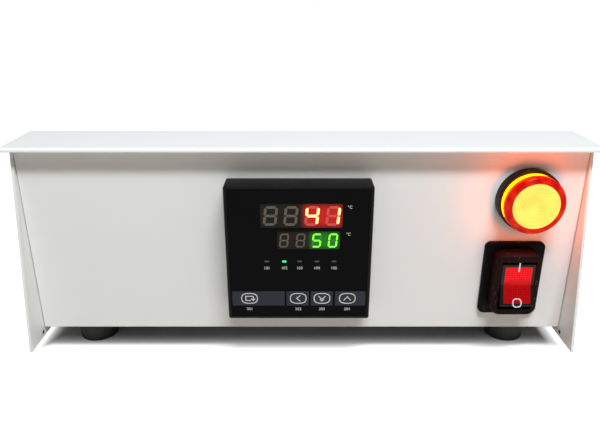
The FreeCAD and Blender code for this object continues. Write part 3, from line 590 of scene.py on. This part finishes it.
class REFLOW_OT_case(bpy.types.Operator):
    """Finish the sheet metal, the feet and the screws"""
    bl_idname = "reflow.case"
    bl_label = "Case"

    PLUG_RADIUS = 1.15 * MM
    PLUG_LENGTH = 1.2 * MM
    PLUG_AHEAD = 2.0 * MM
    PLUG_RISE = 2.6 * MM

    def plugs(self):
        """A small black cylinder in the spare hole of each side panel: painted shade that stands in for the
        dark inside a blind hole.
        """
        # Painted shade: a black fill in each hole where its inside would be in shadow.
        material = finish("painted_hole_shade", moulded_plastic, "#0E0D0D", 0.5)
        for side in ("left", "right"):
            low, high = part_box(side + "_side_panel")
            place = Vector(((low.x + high.x) / 2, PANEL_FRONT - self.PLUG_AHEAD, low.z + self.PLUG_RISE))
            turn = Matrix.Translation(place) @ Matrix.Rotation(math.pi / 2, 4, "Y")
            shape = bmesh.new()
            bmesh.ops.create_cone(shape, cap_ends=True, segments=24, radius1=self.PLUG_RADIUS,
                                  radius2=self.PLUG_RADIUS, depth=self.PLUG_LENGTH, matrix=turn)
            piece("hole_shade_fill_" + side, shape, material, "case")

    def execute(self, context):
        paint = finish("powder_coated_steel", powder_coat, context.scene.reflow_case.paint)
        dress(paint, "front_panel", "left_side_panel", "right_side_panel", "top_plate", "console_cover",
              "deck_plate", "rear_panel", "lid_shell")
        dress(finish("galvanised_sheet", galvanised_sheet), "base_pan")
        dress(finish("moulded_black_rubber", soft_rubber, "#141414", "#262625", 0.75), "rubber_feet")
        dress(finish("zinc_plated_steel", plated_metal, "#9EA3A8", "#D2D4D6", 0.32), "side_screws",
              "foot_screws")
        self.plugs()
        return {"FINISHED"}


class REFLOW_OT_controller(bpy.types.Operator):
    """Finish the temperature controller: overlay, digits, key symbols and figures"""
    bl_idname = "reflow.controller"
    bl_label = "Controller"

    # For each display: its digits' places sideways, drop, size and width of bars, in millimetres
    DIGITS = {
        "process": ((-13.7, -3.8, 6.4, 16.6), 15.4, (5.4, 8.8), 1.3),
        "setpoint": ((-7.2, 0.9, 8.8, 16.7), 28.3, (3.7, 6.6), 0.8),
    }
    # For each display: the strength of its lit bars, then the colour and strength of dark bars beside them
    GLOW = {"process": (4.0, "#A8382C", 0.55), "setpoint": (0.9, "#2E5A1C", 0.4)}
    # For each display: where its stray light starts, in millimetres sideways, and its colour and strength
    STRAY = {
        "process": (2.6, (1.0, 0.006, 0.006, 1.0), 0.55),
        "setpoint": (6.0, (0.0, 0.42, 0.004, 1.0), 0.42),
    }
    SLANT = 0.1
    BAR_THICK = 0.05 * MM
    BAR_OUT = 0.06 * MM
    FILM_EDGE = (-34.4, 34.4, 1.6, 70.4)
    FILM_OUT = 0.02 * MM
    FILM_CLEAR = 0.12 * MM
    KEY_LIP = 0.9 * MM
    LED_PLACES = (-15.9, -7.2, 0.4, 9.0, 17.5)
    LED_SIZE = (2.2, 1.0)
    LED_DROP = 39.6
    LED_FIGURE_DROP = 43.2
    LIT_LED = 1
    LIT_SIZE = (2.2 * MM, 1.1 * MM)
    LIT_OUT = 0.3 * MM
    LIT_THICK = 0.25 * MM
    KEY_FIGURE_DROP = 66.6
    FIRST_LIGHT = 101
    FIRST_KEY = 201
    UNIT_PLACES = ((24.6, 10.8), (24.2, 24.9))
    SYMBOL_X = (-25.1, -0.3, 11.8, 24.7)
    SYMBOL_DROP = 60.4
    SYMBOL_SIZE = (8.0 * MM, 5.7 * MM)
    SYMBOL_LINE = 0.42 * MM
    SYMBOL_THICK = 0.04 * MM
    FIGURE_THICK = 0.03 * MM
    INK_OUT = 0.05 * MM
    # Lines of the symbol on each key, in millimetres from the middle of its ring
    SYMBOLS = (
        [[(0.5, -1.2), (-1.9, -1.2), (-1.9, 1.2), (1.9, 1.2), (1.9, -0.6)],
         [(1.0, -0.2), (1.9, -1.2), (2.7, -0.2)]],
        [[(0.9, 1.5), (-0.9, 0.0), (0.9, -1.5)]],
        [[(-1.7, 1.2), (0.0, -0.5), (1.7, 1.2)], [(-0.9, -0.6), (0.0, -1.5), (0.9, -0.6)]],
        [[(-1.7, -1.0), (0.0, 1.0), (1.7, -1.0)]],
    )

    def film(self, settings):
        """Overlay film with openings for the displays, the lights and the keys."""
        left, right, top, bottom = self.FILM_EDGE
        low_x, high_z = on_face(left, top)
        high_x, low_z = on_face(right, bottom)
        clear = self.FILM_CLEAR
        lips = {"process_display": 0, "setpoint_display": 0}
        lips.update({"key_%d" % number: self.KEY_LIP for number in KEYS})
        openings = []
        for name, lip in lips.items():
            low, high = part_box(name)
            openings.append((low.x - clear, high.x + clear, low.z + lip - clear, high.z - lip + clear))
        for place in self.LED_PLACES:
            x, z = on_face(place, self.LED_DROP)
            half_x, half_z = (size * MM / 2 + clear for size in self.LED_SIZE)
            openings.append((x - half_x, x + half_x, z - half_z, z + half_z))
        xs = sorted({low_x, high_x} | {value for hole in openings for value in hole[:2]})
        zs = sorted({low_z, high_z} | {value for hole in openings for value in hole[2:]})
        xs = [x for x in xs if low_x <= x <= high_x]
        zs = [z for z in zs if low_z <= z <= high_z]
        outlines = []
        for x0, x1 in zip(xs, xs[1:]):
            for z0, z1 in zip(zs, zs[1:]):
                x, z = (x0 + x1) / 2, (z0 + z1) / 2
                if not any(a < x < b and c < z < d for a, b, c, d in openings):
                    outlines.append(((x0, z0), (x1, z0), (x1, z1), (x0, z1)))
        shape = slab(outlines, DISPLAY_FRONT - self.FILM_OUT - settings.film, settings.film)
        film = finish("printed_polyester_overlay", overlay_film)
        piece("controller_overlay", shape, film, "case")

    def digits(self, settings):
        """Lit bars of both displays, bars that catch stray light beside them, and unlit bars."""
        ghost = finish("milky_epoxy_segment", unlit_segments)
        looks = {
            "process": ("red", settings.process_text, settings.process_colour),
            "setpoint": ("green", settings.setpoint_text, settings.setpoint_colour),
        }
        for name, (places, drop, size, line) in self.DIGITS.items():
            tint, text, colour = looks[name]
            strength, beside, beside_strength = self.GLOW[name]
            lit = finish(tint + "_epoxy_segment", lit_segments, colour, strength)
            stray = finish(tint + "_lit_epoxy_segment", lit_segments, beside, beside_strength)
            groups = {"lit": [], "stray": [], "unlit": []}
            for figure, x in zip(text, places):
                outlines = bars(on_face(x, drop), size[0] * MM, size[1] * MM, line * MM, self.SLANT)
                dark = "stray" if LIT_BARS[figure] else "unlit"
                for bar in SEGMENTS:
                    groups["lit" if bar in LIT_BARS[figure] else dark].append(outlines[bar])
            for state, material in (("lit", lit), ("stray", stray), ("unlit", ghost)):
                shape = slab(groups[state], DISPLAY_FRONT - self.BAR_OUT, self.BAR_THICK)
                piece(name + "_digits_" + state, shape, material, "case")

    def symbols(self, ink):
        """A ring and a plain arrow or chevron on each key."""
        front = KEY_FRONT - self.INK_OUT
        for number, x, marks in zip(KEYS, self.SYMBOL_X, self.SYMBOLS):
            centre = Vector(on_face(x, self.SYMBOL_DROP))
            shapes = [ring(centre, *self.SYMBOL_SIZE, self.SYMBOL_LINE, front, self.SYMBOL_THICK)]
            for mark in marks:
                points = [(centre.x + px * MM, centre.y + pz * MM) for px, pz in mark]
                shapes.append(slab(stroke(points, self.SYMBOL_LINE), front, self.SYMBOL_THICK))
            key = "key_%d" % number
            piece(key + "_symbol", merged(shapes), ink, key)

    def print_figures(self, settings, ink):
        """Plain numbers by the lights and keys, and the unit by each display."""
        front = DISPLAY_FRONT - settings.film - self.INK_OUT
        labels = []
        for number, x in enumerate(self.LED_PLACES, self.FIRST_LIGHT):
            labels.append((str(number), on_face(x, self.LED_FIGURE_DROP)))
        for number, x in enumerate(self.SYMBOL_X, self.FIRST_KEY):
            labels.append((str(number), on_face(x, self.KEY_FIGURE_DROP)))
        for place in self.UNIT_PLACES:
            labels.append(("°C", on_face(*place)))
        shapes = []
        for text, place in labels:
            shapes.append(figures(text, place, settings.print_height, front, self.FIGURE_THICK))
        piece("controller_figures", merged(shapes), ink, "case")

    def lights(self):
        """The one indicator that is on, as a lit cap over its light pipe."""
        centre = on_face(self.LED_PLACES[self.LIT_LED], self.LED_DROP)
        points = oval_points(centre, *self.LIT_SIZE, count=20)[:-1]
        shape = slab([points], DISPLAY_FRONT - self.LIT_OUT, self.LIT_THICK)
        lit = finish("green_epoxy_light", lit_segments, "#3AC873", 1.0)
        piece("indicator_on", shape, lit, "case")

    def execute(self, context):
        settings = context.scene.reflow_controller
        ink = finish("screen_printed_white_ink", screen_ink)
        dress(finish("moulded_black_abs", moulded_plastic, "#090808", 0.45, 0.1), "controller_bezel",
              "controller_case", "controller_clamps")
        dress(finish("moulded_slate_abs", moulded_plastic, "#2D2F37", 0.5, 0.1),
              *("key_%d" % number for number in KEYS))
        dress(finish("moulded_grey_polyamide", moulded_plastic, "#3B3B3D", 0.5), "controller_terminals")
        dress(finish("solder_masked_board", solder_mask), "controller_board")
        dress(finish("milky_epoxy_segment", unlit_segments), "indicator_leds")
        boxes = {"process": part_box("process_display"), "setpoint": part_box("setpoint_display")}
        for name, (low, high) in boxes.items():
            start, colour, strength = self.STRAY[name]
            start_x, middle_z = on_face(start, self.DIGITS[name][1])
            reach = (high.z - low.z) / 2
            values = (colour, start_x, high.x, middle_z, reach, strength)
            dress(finish("smoked_epoxy_" + name, display_face, *values), name + "_display")
        self.film(settings)
        self.digits(settings)
        self.symbols(ink)
        self.print_figures(settings, ink)
        self.lights()
        return {"FINISHED"}


class REFLOW_OT_lamp(bpy.types.Operator):
    """Finish the pilot lamp and add the prisms of its lens"""
    bl_idname = "reflow.lamp"
    bl_label = "Pilot lamp"

    NOSE_RADIUS = 11.5 * MM
    PRISM_RADIUS = 10.9 * MM
    PRISM_RISE = 0.32 * MM
    PRISM_FILL = 0.97
    PRISM_OUT = 0.02 * MM
    RIM_STRENGTH = 1.1
    THROW_AHEAD = 5.0 * MM
    THROW_RADIUS = 9.0 * MM

    def throw_light(self, settings):
        """The light that leaves the lens, from just in front of it."""
        light = bpy.data.lights.new("lamp_glow", "POINT")
        light.energy = settings.throw
        light.color = settings.glow
        light.shadow_soft_size = self.THROW_RADIUS
        ahead = LENS_LOW.y - self.THROW_AHEAD - self.THROW_RADIUS
        placed("lamp_glow", light).location = (LENS_MIDDLE.x, ahead, LENS_MIDDLE.z)

    def prisms(self, settings, material):
        """Small pyramids in diagonal rows over the lens, inside a plain round edge."""
        front = LENS_LOW.y - self.PRISM_OUT
        step = settings.prism
        shape = bmesh.new()
        count = int(self.PRISM_RADIUS / step) + 2
        half = step / 2 * math.sqrt(2)
        for row in range(-2 * count, 2 * count + 1):
            for column in range(-2 * count, 2 * count + 1):
                x = (row + column) * half
                z = (row - column) * half
                if math.hypot(x, z) + half > self.PRISM_RADIUS:
                    continue
                foot = half * self.PRISM_FILL
                base = [(x - foot, z), (x, z - foot), (x + foot, z), (x, z + foot)]
                ground = []
                for px, pz in base:
                    ground.append(shape.verts.new((LENS_MIDDLE.x + px, front, LENS_MIDDLE.z + pz)))
                tip = shape.verts.new((LENS_MIDDLE.x + x, front - self.PRISM_RISE, LENS_MIDDLE.z + z))
                shape.faces.new(ground)
                for at in range(4):
                    shape.faces.new((ground[at], ground[(at + 1) % 4], tip))
        piece("lamp_prisms", shape, material, "case")

    def execute(self, context):
        settings = context.scene.reflow_lamp
        lens = finish("moulded_polycarbonate_lens", glowing_lens, settings, self.NOSE_RADIUS)
        dress(lens, "lamp_lens")
        rim_low, rim_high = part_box("lamp_rim")
        dress(finish("red_acrylic_rim", red_acrylic, rim_high.y, rim_low.y, self.RIM_STRENGTH),
              "lamp_rim")
        dress(finish("moulded_black_polyamide", moulded_plastic, "#0C0907", 0.4, 0.1), "lamp_collar",
              "lamp_barrel", "lamp_nut")
        dress(finish("moulded_grey_silicone", soft_rubber, "#3A3A3A", "#565656", 0.6), "lamp_seal")
        dress(finish("solder_masked_board", solder_mask), "lamp_board")
        self.prisms(settings, lens)
        self.throw_light(settings)
        return {"FINISHED"}


class REFLOW_OT_switch(bpy.types.Operator):
    """Finish the hooded rocker switch and print its two marks"""
    bl_idname = "reflow.switch"
    bl_label = "Switch"

    MARK_OUT = 0.06 * MM
    MARK_THICK = 0.06 * MM
    REST_TILT = math.radians(-10)
    VALLEY = 5.4 * MM
    SLOPE = math.atan2(2.2, 13.4)
    BAR_HALF = (0.36 * MM, 2.4 * MM)
    BAR_RISE = 9.6 * MM
    RING_SIZE = 4.2 * MM
    RING_LINE = 0.5 * MM
    RING_RISE = -9.2 * MM

    def marks(self, ink):
        """A bar at the top and a ring at the foot of the rocker, laid on its two slopes."""
        rocker_low, rocker_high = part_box("switch_rocker")
        centre_x = (rocker_low.x + rocker_high.x) / 2
        joint = next(item for item in frame["joints"] if item["name"] == "rocker_tilt")
        pivot = Vector(joint["pos_m"])
        turn = Matrix.Rotation(self.REST_TILT, 4, "X")
        tilt = Matrix.Translation(pivot) @ turn @ Matrix.Translation(-pivot)
        front = -self.MARK_THICK - self.MARK_OUT
        x, z = self.BAR_HALF
        upper = slab([[(-x, -z), (x, -z), (x, z), (-x, z)]], front, self.MARK_THICK)
        lower = ring((0, 0), self.RING_SIZE, self.RING_SIZE, self.RING_LINE, front, self.MARK_THICK)
        marks = (("rocker_on_mark", upper, self.BAR_RISE), ("rocker_off_mark", lower, self.RING_RISE))
        for name, shape, rise in marks:
            depth = self.VALLEY + abs(rise) * math.tan(self.SLOPE)
            seat = Matrix.Translation((centre_x, pivot.y - depth, pivot.z + rise))
            lean = math.copysign(self.SLOPE, rise)
            place = tilt @ seat @ Matrix.Rotation(lean, 4, "X")
            bmesh.ops.transform(shape, matrix=place, verts=shape.verts)
            piece(name, shape, ink, "power_rocker")

    def execute(self, context):
        settings = context.scene.reflow_lamp
        dress(finish("moulded_black_pvc", dusty_rubber, "#0C0808"), "switch_flange")
        dress(finish("moulded_smoked_pvc", dusty_rubber, "#1F0908"), "switch_hood")
        dress(finish("moulded_black_polycarbonate", moulded_plastic, "#140E0E", 0.3), "switch_rocker")
        dress(finish("moulded_black_pbt", moulded_plastic, "#1B1B1B", 0.45), "switch_body")
        dress(finish("red_acrylic_rocker_window", rocker_acrylic, settings.rocker), "rocker_lens")
        dress(finish("nickel_plated_steel", plated_metal, "#A8A49B", "#D8D5CE", 0.25), "rocker_pin")
        dress(finish("rolled_brass", plated_metal, "#B08A3E", "#D9B765", 0.3), "switch_terminals")
        self.marks(finish("screen_printed_white_ink", screen_ink))
        return {"FINISHED"}


class REFLOW_OT_oven(bpy.types.Operator):
    """Finish the heated chamber"""
    bl_idname = "reflow.oven"
    bl_label = "Chamber"

    def execute(self, context):
        dress(finish("brushed_stainless_steel", brushed_stainless), "chamber_well", "heater_rods",
              "thermocouple")
        dress(finish("face_milled_aluminium", milled_aluminium), "heater_plate")
        dress(finish("fired_alumina", moulded_plastic, "#E9E3D2", 0.6), "plate_standoffs")
        dress(finish("nickel_plated_cap", plated_metal, "#A8A49B", "#CFCBC2", 0.3), "thermal_cutout")
        dress(finish("needled_glass_wool", glass_wool), "insulation_blanket")
        dress(finish("extruded_red_silicone", soft_rubber, "#7E1E14", "#9C2C1E", 0.55), "chamber_seal")
        return {"FINISHED"}


class REFLOW_OT_lid(bpy.types.Operator):
    """Finish the lid, its handle and its hinges"""
    bl_idname = "reflow.lid"
    bl_label = "Lid"

    def execute(self, context):
        steel = finish("brushed_stainless_steel", brushed_stainless)
        dress(finish("tempered_float_glass", tempered_glass), "lid_glass")
        dress(steel, "lid_inner_frame", "handle_posts", "hinge_base_leaves", "hinge_lid_leaves",
              "hinge_pins")
        dress(finish("compression_moulded_phenolic", moulded_plastic, "#131312", 0.3), "handle_grip")
        return {"FINISHED"}


class REFLOW_OT_electrics(bpy.types.Operator):
    """Finish the mains inlet and the parts inside the console"""
    bl_idname = "reflow.electrics"
    bl_label = "Electrics"

    def execute(self, context):
        dress(finish("moulded_black_nylon", moulded_plastic, "#1A1A1A", 0.45), "mains_inlet")
        dress(finish("nickel_plated_brass", plated_metal, "#B7B1A2", "#DDD8CC", 0.25), "inlet_blades")
        dress(finish("moulded_white_pbt", moulded_plastic, "#D9D8D2", 0.45), "solid_state_relay",
              "terminal_strip")
        dress(finish("face_milled_aluminium", milled_aluminium), "relay_heatsink")
        dress(finish("yellow_zinc_steel", plated_metal, "#A58C4B", "#CDB878", 0.35), "earth_stud")
        return {"FINISHED"}


class REFLOW_OT_stage(bpy.types.Operator):
    """Set up the pale floor, the soft light and the camera"""
    bl_idname = "reflow.stage"
    bl_label = "Stage"

    FLOOR_HALF = 4.0
    # Band round the case where the floor's painted lift to white fades in
    SHADE_SIDE = (136 * MM, 147 * MM)
    SHADE_FRONT = (PANEL_FRONT + 20 * MM, PANEL_FRONT + 2.5 * MM)
    SHADE_REAR = 128 * MM
    SHADE_FADE = 3.0
    FLOOR_BOUNCE = (0.5, 0.45, 0.4, 1.0)
    FLOOR_SHOWN = (0.5, 0.5, 0.5, 1.0)
    WHITE = (1.0, 1.0, 1.0, 1.0)
    NEAREST = 0.01
    KEY_PLACE = (0.14, -0.57, 1.02)
    KEY_SIZE = (0.5, 0.14)
    REAR_PLACE = (-0.25, 1.25, 0.2)
    REAR_SIZE = (0.7, 0.3)

    def paper(self, tree, place):
        """Seamless white paper: plain white, with real shadow under the case and a painted fade to white
        round its edges, returning less light than it shows.
        """
        path = add(tree, "LightPath")
        seen = add(tree, "Math", {"operation": "MAXIMUM"},
                   (path.outputs["Is Camera Ray"], path.outputs["Is Glossy Ray"]))
        shown = add(tree, "Math", {"operation": "MAXIMUM"}, (seen, path.outputs["Is Transmission Ray"]))
        shade = add(tree, "MixRGB", Fac=shown, Color1=self.FLOOR_BOUNCE, Color2=self.FLOOR_SHOWN)
        middle = (self.SHADE_FRONT[0] + self.SHADE_REAR) / 2
        arm = add(tree, "VectorMath", {"operation": "SUBTRACT"}, (place, (0.0, middle, 0.0)))
        whole = add(tree, "VectorMath", {"operation": "ABSOLUTE"}, Vector=arm)
        split = add(tree, "SeparateXYZ", Vector=whole)
        sides = add(tree, "MapRange", Value=split.outputs["X"], From_Min=self.SHADE_SIDE[0],
                    From_Max=self.SHADE_SIDE[1])
        ends = add(tree, "MapRange", Value=split.outputs["Y"], From_Min=middle - self.SHADE_FRONT[0],
                   From_Max=middle - self.SHADE_FRONT[1])
        # Painted light: the white lift fades in over a band round the case, so the soft edge of the shadow
        # there is painted; under the case the shadow is real.
        edge = add(tree, "Math", {"operation": "MAXIMUM"}, (sides, ends))
        away = add(tree, "Math", {"operation": "POWER"}, (edge, self.SHADE_FADE))
        lift = add(tree, "Math", {"operation": "MULTIPLY"}, (away, shown))
        return add(tree, "BsdfPrincipled", Base_Color=shade, Roughness=1.0, Specular_IOR_Level=0.0,
                   Emission_Color=self.WHITE, Emission_Strength=lift)

    def floor(self):
        """White floor that keeps the shadow."""
        half = self.FLOOR_HALF
        corners = [(-half, -half, 0), (half, -half, 0), (half, half, 0), (-half, half, 0)]
        mesh = bpy.data.meshes.new("floor")
        mesh.from_pydata(corners, [], [(0, 1, 2, 3)])
        mesh.materials.append(finish("seamless_white_paper", self.paper))
        made = placed("floor", mesh)

    def surround(self, settings):
        """World that lights evenly and shows white."""
        world = bpy.data.worlds.new("white_surround")
        bpy.context.scene.world = world
        world.use_nodes = True
        tree = world.node_tree
        tree.nodes.clear()
        path = add(tree, "LightPath")
        seen = add(tree, "Math", {"operation": "MAXIMUM"},
                   (path.outputs["Is Camera Ray"], path.outputs["Is Transmission Ray"]))
        level = add(tree, "MapRange", Value=seen, To_Min=settings.ambient, To_Max=1.0)
        tint = add(tree, "MixRGB", Fac=seen, Color1=settings.shade, Color2=self.WHITE)
        light = add(tree, "Background", Color=tint, Strength=level)
        add(tree, "OutputWorld", Surface=light)

    def soft_box(self, name, place, size, power, colour, target):
        """Soft light aimed at a point."""
        light = bpy.data.lights.new(name, "AREA")
        light.shape = "RECTANGLE"
        light.size, light.size_y = size
        light.energy = power
        light.color = colour
        made = placed(name, light)
        made.location = place
        made.rotation_euler = (target - Vector(place)).to_track_quat("-Z", "Y").to_euler()
        return made

    def execute(self, context):
        settings = context.scene.reflow_stage
        self.floor()
        self.surround(settings)
        self.soft_box("key_softbox", self.KEY_PLACE, self.KEY_SIZE, settings.key, settings.key_colour,
                      Vector((0.0, PANEL_FRONT, PANEL_HIGH.z)))
        rear = self.soft_box("rear_softbox", self.REAR_PLACE, self.REAR_SIZE, settings.rear,
                             settings.key_colour, Vector((0.0, -PANEL_FRONT, PANEL_HIGH.z / 2)))
        rear.visible_glossy = False
        camera = bpy.data.cameras.new("photo_camera")
        camera.sensor_width = SENSOR_WIDTH
        camera.lens = FOCAL_PX * SENSOR_WIDTH / FRAME_WIDTH_PX
        camera.clip_start = self.NEAREST
        made = placed("photo_camera", camera)
        made.location = settings.camera
        made.rotation_euler = (math.pi / 2 - settings.pitch, 0, 0)
        context.scene.camera = made
        context.scene.view_settings.view_transform = "Standard"
        return {"FINISHED"}


class REFLOW_PT_panel(bpy.types.Panel):
    """Sidebar with the oven's settings and the buttons that finish it"""
    bl_idname = "REFLOW_PT_panel"
    bl_label = "Reflow Oven"
    bl_space_type = "VIEW_3D"
    bl_region_type = "UI"
    bl_category = "Reflow Oven"

    def draw(self, context):
        for group in SETTINGS:
            settings = getattr(context.scene, group)
            for name in settings.bl_rna.properties.keys():
                if name not in ("rna_type", "name"):
                    self.layout.prop(settings, name)
        for operator in OPERATORS:
            self.layout.operator(operator.bl_idname)


SETTINGS = {
    "reflow_case": CaseSettings,
    "reflow_controller": ControllerSettings,
    "reflow_lamp": LampSettings,
    "reflow_stage": StageSettings,
}
OPERATORS = (
    REFLOW_OT_case,
    REFLOW_OT_controller,
    REFLOW_OT_lamp,
    REFLOW_OT_switch,
    REFLOW_OT_oven,
    REFLOW_OT_lid,
    REFLOW_OT_electrics,
    REFLOW_OT_stage,
)


def register():
    for name, group in SETTINGS.items():
        bpy.utils.register_class(group)
        setattr(bpy.types.Scene, name, bpy.props.PointerProperty(type=group))
    for operator in OPERATORS:
        bpy.utils.register_class(operator)
    bpy.utils.register_class(REFLOW_PT_panel)


def unregister():
    bpy.utils.unregister_class(REFLOW_PT_panel)
    for operator in reversed(OPERATORS):
        bpy.utils.unregister_class(operator)
    for name, group in SETTINGS.items():
        delattr(bpy.types.Scene, name)
        bpy.utils.unregister_class(group)


def main():
    register()
    bpy.ops.reflow.case()
    bpy.ops.reflow.controller()
    bpy.ops.reflow.lamp()
    bpy.ops.reflow.switch()
    bpy.ops.reflow.oven()
    bpy.ops.reflow.lid()
    bpy.ops.reflow.electrics()
    bpy.ops.reflow.stage()
    bpy.context.view_layer.update()


if __name__ == "__main__":
    main()
